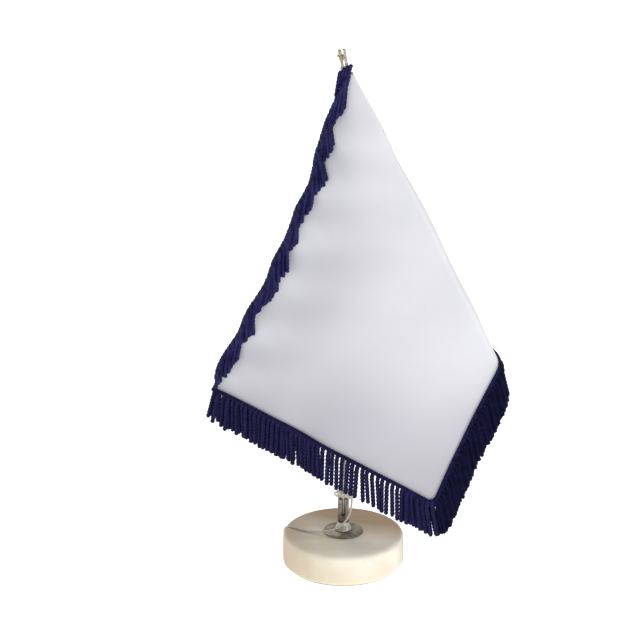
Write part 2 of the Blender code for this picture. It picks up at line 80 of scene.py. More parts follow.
FLAG_WIDTH = 0.228
FLAG_HOIST = 0.163
CLOTH = 0.0005  # thickness of the doubled satin
HEM_WIDTH = 0.024  # of the flat sleeve, round the pole and the cord
HEM_THICKNESS = 0.0003
HEM_CLEARANCE = 0.00045
BRAID_PITCH = 0.0052
BRAID_STRAND = 0.00058
STRAND_RADIUS = 0.00135
STRAND_FALL = 0.0222

SCREW_HOLE = 0.0023  # radius, through the foot, the flange and the socket's cone
FOOT_TOP_ROUND = 0.0036
FOOT_LOW_ROUND = 0.0018
SOCKET_WALL = 0.0010
SOCKET_SLOT_WIDTH = 0.0020
SOCKET_SLOT_DEPTH = 0.0105
SOCKET_HOLE = 0.00135  # radius of the hole that ends the slot

TIP_SLOT_WIDTH = 0.0010
TIP_SLOT_DEPTH = 0.0130
CORD_WAY = 0.0010  # radius of the way for the cord through the tip
CORD_WAY_DROP = 0.0044  # from the tip down to it
TIP_LEAN = 0.16  # sideways for each length of height
TIP_LEAN_FROM = 0.0125  # from the tip down to where it starts to lean

LEAN = math.radians(7.4)
PANEL_YAW = math.radians(12.2)
LEFT_SWEEP = math.radians(22.2)
FRONT_SWEEP = math.radians(27.2)
FOLD_REACH = math.radians(6.3)
RETURN_SWEEP = math.radians(24.0)
FRONT_BULGE = math.radians(2.3)
HOIST_BEARING = math.radians(-57.0)
HOIST_OFFSET = 0.00625
RIGHT_ANGLE = math.pi / 2
DRAPE_SAMPLES = 240
SOLVER_STEPS = 40

CORNER_ROUND = 0.0062
TOP_ARCH = 0.0062
FLY_ARCH = 0.0034
FOOT_ARCH = 0.0022
RETURN_TUCK = 0.0085  # of the back panel's lower edge, in behind the front
FOLD_LIFT = 0.0048  # of the lower edge where the fold crosses it

FLAG_CORNER = np.array([HOIST_OFFSET * math.cos(HOIST_BEARING), HOIST_OFFSET * math.sin(HOIST_BEARING),
                        SLEEVE_TOP + 0.0003])
UP = np.array([0.0, 0.0, 1.0])
FACING = np.array([-math.sin(PANEL_YAW), -math.cos(PANEL_YAW), 0.0])
ACROSS = np.cross(UP, FACING)
DOWN_PANEL = FACING * math.sin(LEAN) - UP * math.cos(LEAN)
PANEL_NORMAL = FACING * math.cos(LEAN) + UP * math.sin(LEAN)

# ---- Camera, lights and floor ----

CAMERA_DISTANCE = 1.5
CAMERA_ELEVATION = math.radians(19.67)
AIM = Vector((-0.0164, 0.0, 0.1719))
LENS = 132.3


def make_camera():
    camera = bpy.data.objects.new("camera", bpy.data.cameras.new("camera"))
    back = Vector((0, -math.cos(CAMERA_ELEVATION), math.sin(CAMERA_ELEVATION)))
    camera.location = AIM + back * CAMERA_DISTANCE
    camera.rotation_euler = (RIGHT_ANGLE - CAMERA_ELEVATION, 0, 0)
    camera.data.lens = LENS
    camera.data.sensor_width = 36
    camera.data.clip_start = 0.05
    bpy.context.scene.collection.objects.link(camera)
    bpy.context.scene.camera = camera


def area_light(name, location, target, size, power, colour):
    light = bpy.data.lights.new(name, "AREA")
    light.shape = "RECTANGLE"
    light.size, light.size_y = size
    light.energy = power
    light.color = colour
    obj = bpy.data.objects.new(name, light)
    obj.location = location
    obj.rotation_euler = (Vector(target) - Vector(location)).to_track_quat("-Z", "Y").to_euler()
    bpy.context.scene.collection.objects.link(obj)


def make_lights():
    world = bpy.data.worlds.new("studio")
    bpy.context.scene.world = world
    world.use_nodes = True
    background = world.node_tree.nodes["Background"]
    background.inputs["Color"].default_value = (1.0, 1.0, 1.0, 1)
    background.inputs["Strength"].default_value = 0.38
    bpy.context.scene.view_settings.view_transform = "Standard"
    area_light("key", (0.62, -0.52, 0.52), (0, 0, 0.18), (0.5, 0.5), 2.9, (1.0, 0.985, 0.955))
    area_light("fill", (-1.1, -0.7, 0.6), (0, 0, 0.15), (1.0, 1.0), 0.5, (0.90, 0.94, 1.0))
    area_light("front", (0.25, -1.0, 0.06), (0, 0, 0.01), (0.5, 0.2), 0.65, (1.0, 0.99, 0.97))
    area_light("rim", (-0.4, 0.7, 0.8), (0, 0, 0.10), (0.7, 0.7), 3.0, (1.0, 0.95, 0.87))


def make_floor():
    mesh = bpy.data.meshes.new("floor")
    shape = bmesh.new()
    bmesh.ops.create_grid(shape, x_segments=1, y_segments=1, size=6)
    shape.to_mesh(mesh)
    shape.free()
    floor = bpy.data.objects.new("floor", mesh)
    floor.location = (0, 0, -0.0002)
    bpy.context.scene.collection.objects.link(floor)
    paint = Paint("floor_white", (0.93, 0.93, 0.93), 0.9)
    paint.shader.inputs["Emission Color"].default_value = (1, 1, 1, 1)
    paint.shader.inputs["Emission Strength"].default_value = 0.85
    mesh.materials.append(paint.material)


# ---- Materials ----


class Paint:
    """A Principled material with short ways to add the nodes that these looks share."""

    def __init__(self, name, colour, roughness, metallic=0.0):
        self.material = bpy.data.materials.new(name)
        self.material.use_nodes = True
        self.tree = self.material.node_tree
        self.shader = self.tree.nodes["Principled BSDF"]
        self.shader.inputs["Base Color"].default_value = (*colour, 1)
        self.shader.inputs["Roughness"].default_value = roughness
        self.shader.inputs["Metallic"].default_value = metallic

    def add(self, kind, **inputs):
        node = self.tree.nodes.new(kind)
        for name, value in inputs.items():
            self.put(node.inputs[name.replace("_", " ")], value)
        return node

    def put(self, socket, value):
        if isinstance(value, bpy.types.NodeSocket):
            self.tree.links.new(value, socket)
        else:
            socket.default_value = value

    def place(self, scale=(1, 1, 1), rotation=(0, 0, 0), uv=False):
        """Object coordinates, or the flat coordinates kept as a UV map, scaled."""
        if uv:
            source = self.tree.nodes.new("ShaderNodeUVMap")
            source.uv_map = "flat"
            output = source.outputs["UV"]
        else:
            source = self.tree.nodes.new("ShaderNodeTexCoord")
            output = source.outputs["Object"]
        mapping = self.add("ShaderNodeMapping", Vector=output)
        mapping.inputs["Scale"].default_value = scale
        mapping.inputs["Rotation"].default_value = rotation
        return mapping.outputs["Vector"]

    def noise(self, where, scale, detail=2.0, roughness=0.5):
        node = self.add("ShaderNodeTexNoise", Vector=where, Scale=scale, Detail=detail, Roughness=roughness)
        return node.outputs["Fac"]

    def wave(self, where, scale, distortion=0.0, direction="X"):
        node = self.add("ShaderNodeTexWave", Vector=where, Scale=scale, Distortion=distortion)
        node.bands_direction = direction
        return node.outputs["Fac"]

    def ramp(self, value, *stops):
        """stops are (position, grey or colour)."""
        node = self.add("ShaderNodeValToRGB", Fac=value)
        band = node.color_ramp
        while len(band.elements) < len(stops):
            band.elements.new(0.5)
        for element, (position, colour) in zip(band.elements, stops):
            element.position = position
            element.color = (*colour, 1) if isinstance(colour, tuple) else (colour, colour, colour, 1)
        return node.outputs["Color"]

    def mix(self, first, second, share, mode="MIX"):
        node = self.tree.nodes.new("ShaderNodeMix")
        node.data_type = "RGBA"
        node.blend_type = mode
        self.put(node.inputs["Factor"], share)
        self.put(node.inputs[6], first)
        self.put(node.inputs[7], second)
        return node.outputs[2]

    def maths(self, operation, first, second=0.0):
        node = self.tree.nodes.new("ShaderNodeMath")
        node.operation = operation
        self.put(node.inputs[0], first)
        self.put(node.inputs[1], second)
        return node.outputs[0]

    def bump(self, height, distance, strength=1.0, onto=None):
        node = self.add("ShaderNodeBump", Height=height, Distance=distance, Strength=strength)
        if onto is not None:
            self.put(node.inputs["Normal"], onto)
        self.put(self.shader.inputs["Normal"], node.outputs["Normal"])
        return node.outputs["Normal"]

    def colour(self, value):
        self.put(self.shader.inputs["Base Color"], value)

    def roughness(self, value):
        self.put(self.shader.inputs["Roughness"], value)


def satin_paint():
    """White satin with painted shade, greyer on the panel's left and towards its foot, and a fine weave and
    slubs.
    """
    paint = Paint("white_satin", (0.86, 0.87, 0.92), 0.42)
    paint.shader.inputs["Sheen Weight"].default_value = 0.25
    paint.shader.inputs["Sheen Roughness"].default_value = 0.35
    paint.shader.inputs["Specular IOR Level"].default_value = 0.35
    flat = paint.place((1, 1, 1), uv=True)
    broad = paint.noise(flat, 14.0, 3.0)
    pale = paint.ramp(broad, (0.30, (0.750, 0.755, 0.805)), (0.70, (0.800, 0.810, 0.855)))
    away = paint.add("ShaderNodeSeparateXYZ", Vector=flat)
    # Painted shade: greyer away from the fold towards the top edge, on the panel's left.
    share = paint.maths("DIVIDE", away.outputs["X"], paint.maths("ADD", away.outputs["X"], away.outputs["Y"]))
    painted_shade_left = paint.ramp(share, (0.44, 1.0), (0.56, (0.93, 0.925, 0.935)), (0.74, (0.87, 0.865, 0.88)),
                        (0.95, 0.88))
    # Painted shade: greyer towards the foot, by height.
    axes = paint.add("ShaderNodeSeparateXYZ", Vector=paint.place())
    height = paint.maths("MULTIPLY", axes.outputs["Z"], 5.0)
    lower = paint.ramp(height, (0.34, (0.72, 0.70, 0.71)), (0.50, (0.79, 0.775, 0.79)),
                       (0.60, (0.84, 0.83, 0.845)), (0.80, 1.0))
    paint.colour(paint.mix(paint.mix(pale, painted_shade_left, 1.0, "MULTIPLY"), lower, 1.0, "MULTIPLY"))
    threads = paint.wave(flat, 420.0, 1.2, "X")
    picks = paint.wave(flat, 330.0, 1.6, "Y")
    slub = paint.noise(paint.place((90, 900, 1), uv=True), 1.0, 2.0)
    weave = paint.maths("MULTIPLY_ADD", threads, 0.6)
    paint.put(weave.node.inputs[2], paint.maths("MULTIPLY_ADD", picks, 0.3))
    first = paint.bump(weave, 0.00008, 0.5)
    paint.bump(slub, 0.00012, 0.35, first)
    paint.roughness(paint.ramp(slub, (0.2, 0.36), (0.8, 0.52)))
    return paint.material


def navy_paint(name, painted_brightness):
    """Dark blue rayon. The brightness factor paints light and shade into its colour and specular level:
    painted light for strands that lie flat, painted shade for ones that hang in a thick row.
    """
    paint = Paint(name, (0.010, 0.008, 0.060), 0.6)
    paint.shader.inputs["Specular IOR Level"].default_value = 0.14 * painted_brightness
    flat = paint.place(uv=True)
    fibres = paint.wave(paint.place(rotation=(0, 0, 0.6), uv=True), 9.0, 2.5)
    patch = paint.noise(paint.place(), 210.0, 2.0)
    deep, bright = np.array((0.0030, 0.0022, 0.024)) * painted_brightness, np.array((0.0120, 0.0100, 0.078)) * painted_brightness
    base = paint.ramp(patch, (0.30, tuple(deep)), (0.72, tuple(bright)))
    paint.colour(paint.mix(base, (*(bright * (2.2, 2.4, 1.6)), 1), paint.maths("MULTIPLY", fibres, 0.30)))
    first = paint.bump(fibres, 0.00012, 0.6)
    paint.bump(paint.noise(flat, 30.0, 2.0), 0.00010, 0.4, first)
    paint.roughness(paint.ramp(fibres, (0.0, 0.62), (1.0, 0.42)))
    return paint.material


def cord_paint():
    paint = Paint("cream_cord", (0.74, 0.69, 0.60), 0.8)
    paint.shader.inputs["Sheen Weight"].default_value = 0.2
    right = paint.wave(paint.place((1, 1, 1), (0, 0, 0.8), uv=True), 5.0, 0.6, "X")
    left = paint.wave(paint.place((1, 1, 1), (0, 0, -0.8), uv=True), 5.0, 0.6, "X")
    plait = paint.maths("MAXIMUM", right, left)
    dirt = paint.noise(paint.place(), 180.0, 3.0)
    clean = paint.ramp(dirt, (0.25, (0.70, 0.63, 0.53)), (0.65, (0.86, 0.82, 0.74)))
    # Painted shade: darker brown in the grooves between the plait's strands.
    paint.colour(paint.mix(clean, (0.46, 0.40, 0.32, 1), paint.maths("SUBTRACT", 0.55, plait)))
    paint.bump(plait, 0.00016, 0.8)
    return paint.material


def wood_paint():
    """Pale close-grained wood, browner towards the back of the foot, with painted shade on its left side and a
    painted highlight along its rounded top edge.
    """
    paint = Paint("foot_wood", (0.78, 0.72, 0.60), 0.5)
    paint.shader.inputs["Coat Weight"].default_value = 0.10
    paint.shader.inputs["Coat Roughness"].default_value = 0.4
    grain = paint.noise(paint.place((16, 120, 90), (0, 0, 0.16)), 1.0, 4.0, 0.55)
    broad = paint.noise(paint.place((22, 34, 26), (0.2, 0, 0.16)), 1.0, 2.0)
    pores = paint.noise(paint.place((60, 1300, 900), (0, 0, 0.16)), 1.0, 2.0)
    axes = paint.add("ShaderNodeSeparateXYZ", Vector=paint.place())
    back = paint.maths("MULTIPLY_ADD", axes.outputs["Y"], 24.0)
    right = paint.maths("MULTIPLY_ADD", axes.outputs["X"], 10.0)
    paint.put(right.node.inputs[2], paint.maths("MULTIPLY", broad, 0.85))
    paint.put(back.node.inputs[2], right)
    pale = paint.ramp(broad, (0.34, (0.780, 0.690, 0.530)), (0.64, (0.900, 0.860, 0.750)))
    # Browner towards the back and the right.
    back_brown_and_left_shade = paint.mix(pale, (0.420, 0.280, 0.165, 1), paint.ramp(back, (0.34, 0.0), (0.92, 0.95)))
    # Painted shade: a darker brown on the foot's left side.
    left = paint.ramp(paint.maths("DIVIDE", axes.outputs["X"], -BASE_RADIUS), (0.45, 0.0), (1.0, 0.95))
    back_brown_and_left_shade = paint.mix(back_brown_and_left_shade, (0.560, 0.420, 0.275, 1), left)
    streaked = paint.mix(back_brown_and_left_shade, (0.56, 0.44, 0.30, 1), paint.ramp(grain, (0.46, 0.0), (0.72, 0.22)))
    body = paint.mix(streaked, (0.46, 0.36, 0.25, 1), paint.ramp(pores, (0.60, 0.0), (0.76, 0.12)))
    # Painted highlight: a pale cream band round the rounded top edge.
    height = paint.maths("MULTIPLY", axes.outputs["Z"], 1 / BASE_TOP)
    painted_edge_highlight = paint.ramp(height, (0.84, 0.0), (0.93, 0.60), (0.992, 0.0))
    paint.colour(paint.mix(body, (0.94, 0.89, 0.77, 1), painted_edge_highlight))
    first = paint.bump(pores, 0.00006, 0.3)
    paint.bump(grain, 0.00008, 0.2, first)
    paint.roughness(paint.ramp(grain, (0.3, 0.60), (0.7, 0.45)))
    return paint.material


def metal_paint(name, colour, dark, roughness, brushed=(500, 500, 30), film=0.75):
    """Worn plating: brushed lines, dull patches and a darker film in them."""
    paint = Paint(name, colour, roughness, 1.0)
    lines = paint.noise(paint.place(brushed), 1.0, 3.0)
    patch = paint.noise(paint.place(), 190.0, 3.0, 0.6)
    paint.colour(paint.mix((*colour, 1), (*dark, 1), paint.ramp(patch, (0.42, 0.0), (0.68, film))))
    paint.roughness(paint.ramp(patch, (0.30, roughness * 0.75), (0.70, min(1.0, roughness * 1.7))))
    paint.bump(lines, 0.00004, 0.35)
    return paint.material


def felt_paint():
    paint = Paint("felt", (0.5, 0.48, 0.43), 0.95)
    paint.shader.inputs["Sheen Weight"].default_value = 0.3
    fuzz = paint.noise(paint.place(), 2600.0, 4.0, 0.7)
    paint.colour(paint.ramp(fuzz, (0.3, (0.42, 0.40, 0.35)), (0.7, (0.66, 0.64, 0.58))))
    paint.bump(fuzz, 0.0004, 0.8)
    return paint.material


def plug_paint():
    paint = Paint("plug_plastic", (0.02, 0.02, 0.02), 0.4)
    grain = paint.noise(paint.place(), 1500.0, 3.0)
    paint.roughness(paint.ramp(grain, (0.3, 0.35), (0.7, 0.55)))
    paint.bump(grain, 0.00004, 0.4)
    return paint.material


def make_paints():
    drawn = (900, 900, 20)  # scale of the fine lines along a drawn tube
    return {
        "satin": satin_paint(),
        "navy": navy_paint("navy_rayon", 1.0),
        # Lit and shaded copies of the navy rayon: painted light for the strands lying on the cloth, painted
        # shade for the thick hanging rows.
        "navy_painted_light": navy_paint("navy_rayon_painted_light", 1.45),
        "navy_painted_shade": navy_paint("navy_rayon_painted_shade", 0.50),
        "cord": cord_paint(),
        "wood": wood_paint(),
        "felt": felt_paint(),
        "plug": plug_paint(),
        "steel": metal_paint("zinc_steel", (0.50, 0.49, 0.46), (0.30, 0.29, 0.27), 0.38),
        "plate": metal_paint("cast_plate", (0.40, 0.36, 0.30), (0.21, 0.185, 0.15), 0.55, (400, 400, 400)),
        "tube": metal_paint("plated_tube", (0.60, 0.58, 0.53), (0.24, 0.21, 0.17), 0.26, drawn, 0.30),
        "pole": metal_paint("pole_tube", (0.40, 0.375, 0.32), (0.20, 0.18, 0.14), 0.34, drawn, 0.35),
        # A darker copy of the tube's plating for the slotted socket tube: painted shade.
        "split": metal_paint("split_tube", (0.24, 0.22, 0.19), (0.08, 0.07, 0.055), 0.32, drawn),
        "brass": metal_paint("brass", (0.42, 0.37, 0.20), (0.22, 0.19, 0.10), 0.38),
    }


# ---- Mesh tools ----


def stand_for(obj, body, slot, *nodes):
    """Let obj ride on a body and stand for the CAD's nodes, which it hides. slot is not used."""
    if body:
        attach(obj, body)
    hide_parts(*nodes)
    return obj


def mesh_object(name, points, faces, material, uvs=None):
    """A smooth mesh object from points (n, 3) and faces (m, 4). A triangle repeats its last corner."""
    mesh = bpy.data.meshes.new(name)
    polygons = [list(f) if f[2] != f[3] else list(f[:3]) for f in faces.tolist()]
    mesh.from_pydata(points.tolist(), [], polygons)
    if uvs is not None:
        layer = mesh.uv_layers.new(name="flat")
        corners = np.zeros(len(mesh.loops), np.int32)
        mesh.loops.foreach_get("vertex_index", corners)
        layer.data.foreach_set("uv", uvs[corners].astype(np.float32).ravel())
    mesh.shade_smooth()
    mesh.validate()
    mesh.materials.append(material)
    obj = bpy.data.objects.new(name, mesh)
    bpy.context.scene.collection.objects.link(obj)
    return obj


def grid_faces(rows, columns, loop=False):
    """Quads of a grid of points numbered row by row."""
    i, j = np.meshgrid(np.arange(rows - 1), np.arange(columns if loop else columns - 1), indexing="ij")
    here = i * columns + j
    across = i * columns + (j + 1) % columns
    return np.stack([here, across, across + columns, here + columns], axis=-1).reshape(-1, 4)


def unit(vectors):
    vectors = np.asarray(vectors, float)
    return vectors / np.maximum(np.linalg.norm(vectors, axis=-1, keepdims=True), 1e-12)


def smooth_path(route, count):
    """Evenly spaced points on a Catmull-Rom curve through the route's points."""
    route = np.asarray(route, float)
    ends = np.vstack([2 * route[0] - route[1], route, 2 * route[-1] - route[-2]])
    steps = np.linspace(0, 1, 12, endpoint=False)[:, None]
    dense = []
    for p0, p1, p2, p3 in zip(ends, ends[1:], ends[2:], ends[3:]):
        bend = (p2 - p0) * steps + (2 * p0 - 5 * p1 + 4 * p2 - p3) * steps**2
        dense.append(p1 + (bend + (3 * p1 - p0 - 3 * p2 + p3) * steps**3) / 2)
    dense = np.vstack(dense + [route[-1:]])
    walked = np.concatenate([[0], np.cumsum(np.linalg.norm(np.diff(dense, axis=0), axis=1))])
    wanted = np.linspace(0, walked[-1], count)
    return np.stack([np.interp(wanted, walked, dense[:, k]) for k in range(3)], axis=1)


def carried_frames(path, closed=False):
    """Two directions across the path at each point, carried along it without twist."""
    if closed:
        tangents = unit(np.roll(path, -1, axis=0) - np.roll(path, 1, axis=0))
    else:
        tangents = unit(np.gradient(path, axis=0))
    side = np.cross(tangents[0], (0.31, 0.87, 0.39))
    sides = []
    for tangent in tangents:
        side = side - tangent * (side @ tangent)
        side = side / np.linalg.norm(side)
        sides.append(side)
    sides = np.array(sides)
    return sides, np.cross(tangents, sides)


def tube_rings(path, radius, sides=12, lobes=0, depth=0.0, twist=0.0, phase=0.0, closed=False):
    """Rings of points round a path. lobes, depth and twist (turns per metre) make it a twisted rope."""
    one, two = carried_frames(path, closed)
    steps = np.linalg.norm(np.diff(path, axis=0), axis=1)
    walked = np.concatenate([[0], np.cumsum(steps)])
    angle = np.linspace(0, 2 * math.pi, sides, endpoint=False)
    turned = angle[None, :] - (phase + 2 * math.pi * twist * walked)[:, None]
    reach = np.full((len(path), sides), float(radius))
    if lobes:
        reach = radius * (1 - depth + depth * np.abs(np.cos(lobes * turned / 2)))
    if not closed:
        for nearness in (walked, walked[-1] - walked):
            left = np.clip(1 - nearness / radius, 0, 1)
            reach = reach * np.sqrt(np.maximum(1 - left**2, 0.0025))[:, None]
    rings = path[:, None, :] + reach[..., None] * (
        np.cos(angle)[None, :, None] * one[:, None, :] + np.sin(angle)[None, :, None] * two[:, None, :]
    )
    around = angle[None, :] / (2 * math.pi) * radius * 4000
    uv = np.stack(np.broadcast_arrays(around, walked[:, None] * 1000), axis=-1)
    return rings, uv


def ropes_object(name, ropes, material, closed=False):
    """One object from many tubes, each a (rings, uv) pair, with its ends closed."""
    points, faces, uvs, start = [], [], [], 0
    for rings, uv in ropes:
        rows, sides, _ = rings.shape
        points.append(rings.reshape(-1, 3))
        uvs.append(uv.reshape(-1, 2))
        body = grid_faces(rows, sides, loop=True)
        if closed:
            last = (rows - 1) * sides + np.arange(sides)
            first = np.arange(sides)
            body = np.vstack([body, np.stack([last, np.roll(last, -1), np.roll(first, -1), first], axis=1)])
            faces.append(body + start)
            start += rows * sides
            continue
        faces.append(body + start)
        low, high = start + rows * sides, start + rows * sides + 1
        points.append(np.stack([rings[0].mean(0), rings[-1].mean(0)]))
        uvs.append(np.stack([uv[0].mean(0), uv[-1].mean(0)]))
        ring = np.arange(sides)
        after = np.roll(ring, -1)
        last = start + (rows - 1) * sides
        first_hub, last_hub = np.full(sides, low), np.full(sides, high)
        faces.append(np.stack([start + after, start + ring, first_hub, first_hub], axis=1))
        faces.append(np.stack([last + ring, last + after, last_hub, last_hub], axis=1))
        start += rows * sides + 2
    return mesh_object(name, np.vstack(points), np.vstack(faces), material, np.vstack(uvs))


def turned_object(name, profile, material, steps=96, closed=False):
    """A turned piece from (radius, height) points that run down its outer side."""
    profile = np.asarray(profile, float)
    angle = np.linspace(0, 2 * math.pi, steps, endpoint=False)
    across = np.stack([np.cos(angle), np.sin(angle)], axis=1)
    rows = len(profile)
    points = np.concatenate(
        [
            profile[:, 0][:, None, None] * across[None],
            np.broadcast_to(profile[:, 1][:, None, None], (rows, steps, 1)),
        ],
        axis=2,
    ).reshape(-1, 3)
    faces = grid_faces(rows, steps, loop=True)[:, ::-1]
    if closed:
        last = (rows - 1) * steps + np.arange(steps)
        first = np.arange(steps)
        faces = np.vstack([faces, np.stack([np.roll(last, -1), last, first, np.roll(first, -1)], axis=1)])
    obj = mesh_object(name, points, faces, material)
    mesh = bmesh.new()
    mesh.from_mesh(obj.data)
    bmesh.ops.remove_doubles(mesh, verts=mesh.verts, dist=1e-7)
    bmesh.ops.recalc_face_normals(mesh, faces=mesh.faces)
    mesh.to_mesh(obj.data)
    mesh.free()
    obj.data.shade_smooth()
    return obj


def arc(centre, radius, start, end, count):
    angles = np.linspace(start, end, count + 1)
    return [(centre[0] + radius * math.cos(a), centre[1] + radius * math.sin(a)) for a in angles]


# ---- Drape of the flag ----


def bezier(a, b, c, d, t):
    s = 1 - t
    return s**3 * a + 3 * s**2 * t * b + 3 * s * t**2 * c + t**3 * d


def to_directions(sweep, depth):
    flat = np.sin(sweep)[:, None] * ACROSS + np.cos(sweep)[:, None] * DOWN_PANEL
    return flat * np.cos(depth)[:, None] - np.sin(depth)[:, None] * PANEL_NORMAL


def drape_samples(return_depth):
    """Directions from the flag's top edge round its front and fold to the hoist, straight down."""
    t = np.arange(DRAPE_SAMPLES) / DRAPE_SAMPLES
    bulge = -FRONT_BULGE * np.sin(math.pi * t) ** 2
    front = to_directions(-LEFT_SWEEP + t * (LEFT_SWEEP + FRONT_SWEEP), bulge)
    t = np.arange(DRAPE_SAMPLES + 1) / DRAPE_SAMPLES
    sweep = bezier(FRONT_SWEEP, FRONT_SWEEP + FOLD_REACH, RETURN_SWEEP, 0, t)
    back = to_directions(sweep, bezier(0, 0, return_depth, LEAN, t))
    return np.vstack([front, back])


def swept_angles(directions):
    cosines = np.clip((directions[:-1] * directions[1:]).sum(axis=1), -1, 1)
    return np.concatenate([[0], np.cumsum(np.arccos(cosines))])


def solve_drape():
    """The return panel's depth at which the whole sweep is the flag's own right angle."""
    shallow, deep = 0.0, math.radians(60)
    for _ in range(SOLVER_STEPS):
        middle = (shallow + deep) / 2
        if swept_angles(drape_samples(middle))[-1] < RIGHT_ANGLE:
            shallow = middle
        else:
            deep = middle
    directions = drape_samples((shallow + deep) / 2)
    return directions, swept_angles(directions)


DRAPE_DIRECTIONS, DRAPE_ANGLES = solve_drape()
FOLD_ANGLE = RIGHT_ANGLE - DRAPE_ANGLES[DRAPE_SAMPLES]


def drape_direction(angle):
    swept = RIGHT_ANGLE - np.asarray(angle, float)
    return unit(np.stack([np.interp(swept, DRAPE_ANGLES, DRAPE_DIRECTIONS[:, k]) for k in range(3)], axis=-1))


def ripple(u, v):
    """How far the cloth stands off its smooth cone: puckers along the top edge and soft waves."""
    near_top = np.exp(-v / 0.024) * np.clip(u / 0.05, 0, 1)
    pucker = near_top * (0.0015 * np.sin(2 * math.pi * (u + 0.45 * v) / 0.034) + 0.0006 * np.sin(
        2 * math.pi * (u - 0.5 * v) / 0.019 + 1.3))
    radius = np.hypot(u, v)
    angle = np.arctan2(u, np.maximum(v, 1e-9))
    waves = 0.0016 * (radius / 0.25) ** 1.5 * np.sin(6.5 * angle + 0.8)
    sag = 0.0010 * np.sin(2 * math.pi * (0.9 * u + 0.4 * v) / 0.11)
    sag = sag * np.sin(2 * math.pi * (v - 0.3 * u) / 0.09)
    near_fly = np.exp(-np.maximum(FLAG_WIDTH - u, 0) / 0.012) * np.sin(2 * math.pi * v / 0.038)
    near_foot = np.exp(-np.maximum(FLAG_HOIST - v, 0) / 0.012) * np.sin(2 * math.pi * u / 0.041)
    steady = np.clip(radius / 0.05, 0, 1) * np.clip(u / 0.02, 0, 1)
    return steady * (pucker + waves + sag + 0.0005 * near_fly + 0.0005 * near_foot)


def smooth_step(low, high, value):
    share = np.clip((value - low) / (high - low), 0, 1)
    return share * share * (3 - 2 * share)


def slack(u, v):
    """How far the loose edges stray: the top edge to the right, the fly and lower edges up, the back in."""
    top = smooth_step(0.034, 0.082, u) * (1 - smooth_step(0.135, 0.222, u))
    top = top * TOP_ARCH + 0.0009 * np.sin(2 * math.pi * u / 0.036 + 0.6) * smooth_step(0.03, 0.06, u)
    aside = top * np.exp(-v / 0.055)
    rise = FLY_ARCH * np.sin(math.pi * np.clip(v / FLAG_HOIST, 0, 1)) * np.exp(-(FLAG_WIDTH - u) / 0.05)
    across = FLAG_HOIST * math.tan(FOLD_ANGLE)
    along_foot = np.clip((u - across) / (FLAG_WIDTH - across), 0, 1)
    rise = rise + FOOT_ARCH * np.sin(math.pi * along_foot) * np.exp(-(FLAG_HOIST - v) / 0.04)
    behind = np.arctan2(u, np.maximum(v, 1e-9)) / FOLD_ANGLE
    tuck = (1 - smooth_step(0.84, 1.0, behind)) * smooth_step(0.30, 0.75, behind)
    aside = aside - RETURN_TUCK * tuck * np.exp(-np.maximum(FLAG_HOIST - v, 0) / 0.026)
    lifted = np.exp(-(((behind - 1) / 0.16) ** 2)) * np.exp(-np.maximum(FLAG_HOIST - v, 0) / 0.03)
    aside, rise = aside + 0.0022 * lifted, rise + FOLD_LIFT * lifted
    return aside[..., None] * ACROSS - rise[..., None] * DOWN_PANEL


def rounded_corner(u, v):
    """The flat place drawn in towards the flag's rounded lower corner."""
    du, dv = np.maximum(u - FLAG_WIDTH + CORNER_ROUND, 0), np.maximum(v - FLAG_HOIST + CORNER_ROUND, 0)
    drawn = np.maximum(du, dv) / np.maximum(np.hypot(du, dv), 1e-9)
    inside = (du > 0) & (dv > 0)
    return (np.where(inside, FLAG_WIDTH - CORNER_ROUND + du * drawn, u),
            np.where(inside, FLAG_HOIST - CORNER_ROUND + dv * drawn, v))


def cloth_frame(u, v):
    """(points, outward normals) of the draped flag, at u from the hoist and v from the top edge when flat."""
    u, v = rounded_corner(np.asarray(u, float), np.asarray(v, float))
    angle = np.arctan2(u, v)
    small = math.radians(0.4)
    low = drape_direction(np.maximum(angle - small, 0))
    high = drape_direction(np.minimum(angle + small, RIGHT_ANGLE))
    ray = drape_direction(angle)
    normal = unit(np.cross(high - low, ray))
    point = FLAG_CORNER + ray * np.hypot(u, v)[..., None] + normal * ripple(u, v)[..., None] + slack(u, v)
    return point, normal


def cloth_point(u, v, lift=0.0):
    point, normal = cloth_frame(u, v)
    return point + normal * lift


# ---- Flag ----


def flag_cloth():
    """The whole sheet in one mesh, as rays from its top corner: the hoist, the fold, the top edge."""
    corner = math.atan2(FLAG_WIDTH, FLAG_HOIST)
    fold_start, fold_end = FOLD_ANGLE - 0.10, FOLD_ANGLE + 0.05
    angles = np.concatenate([np.linspace(0, fold_start, 60, endpoint=False),
                             np.linspace(fold_start, fold_end, 36, endpoint=False),
                             np.linspace(fold_end, corner, 36, endpoint=False),
                             np.linspace(corner, RIGHT_ANGLE, 96)])
    to_foot = FLAG_HOIST / np.maximum(np.cos(angles), 1e-9)
    to_fly = FLAG_WIDTH / np.maximum(np.sin(angles), 1e-9)
    reach = np.minimum(to_foot, to_fly)
    shares = np.linspace(0.012, 1, 130)
    out = shares[:, None] * reach[None, :]
    u, v = out * np.sin(angles), out * np.cos(angles)
    points = cloth_point(u, v).reshape(-1, 3)
    faces = grid_faces(len(shares), len(angles))
    obj = mesh_object("flag_satin", points, faces, PAINTS["satin"], np.stack([u, v], axis=-1).reshape(-1, 2))
    solid = obj.modifiers.new("thickness", "SOLIDIFY")
    solid.thickness = CLOTH
    solid.offset = 0
    return stand_for(obj, "flag", "white_satin", "flag_front", "flag_return")


def across_edge(start, end):
    """The length of an edge of the flat flag, and the direction across it that leaves the sheet."""
    long = np.linalg.norm(end - start)
    outward = np.array([(end - start)[1], -(end - start)[0]]) / long
    middle = np.array([FLAG_WIDTH * 0.6, FLAG_HOIST * 0.5])
    return long, -outward if (middle - start) @ outward > 0 else outward


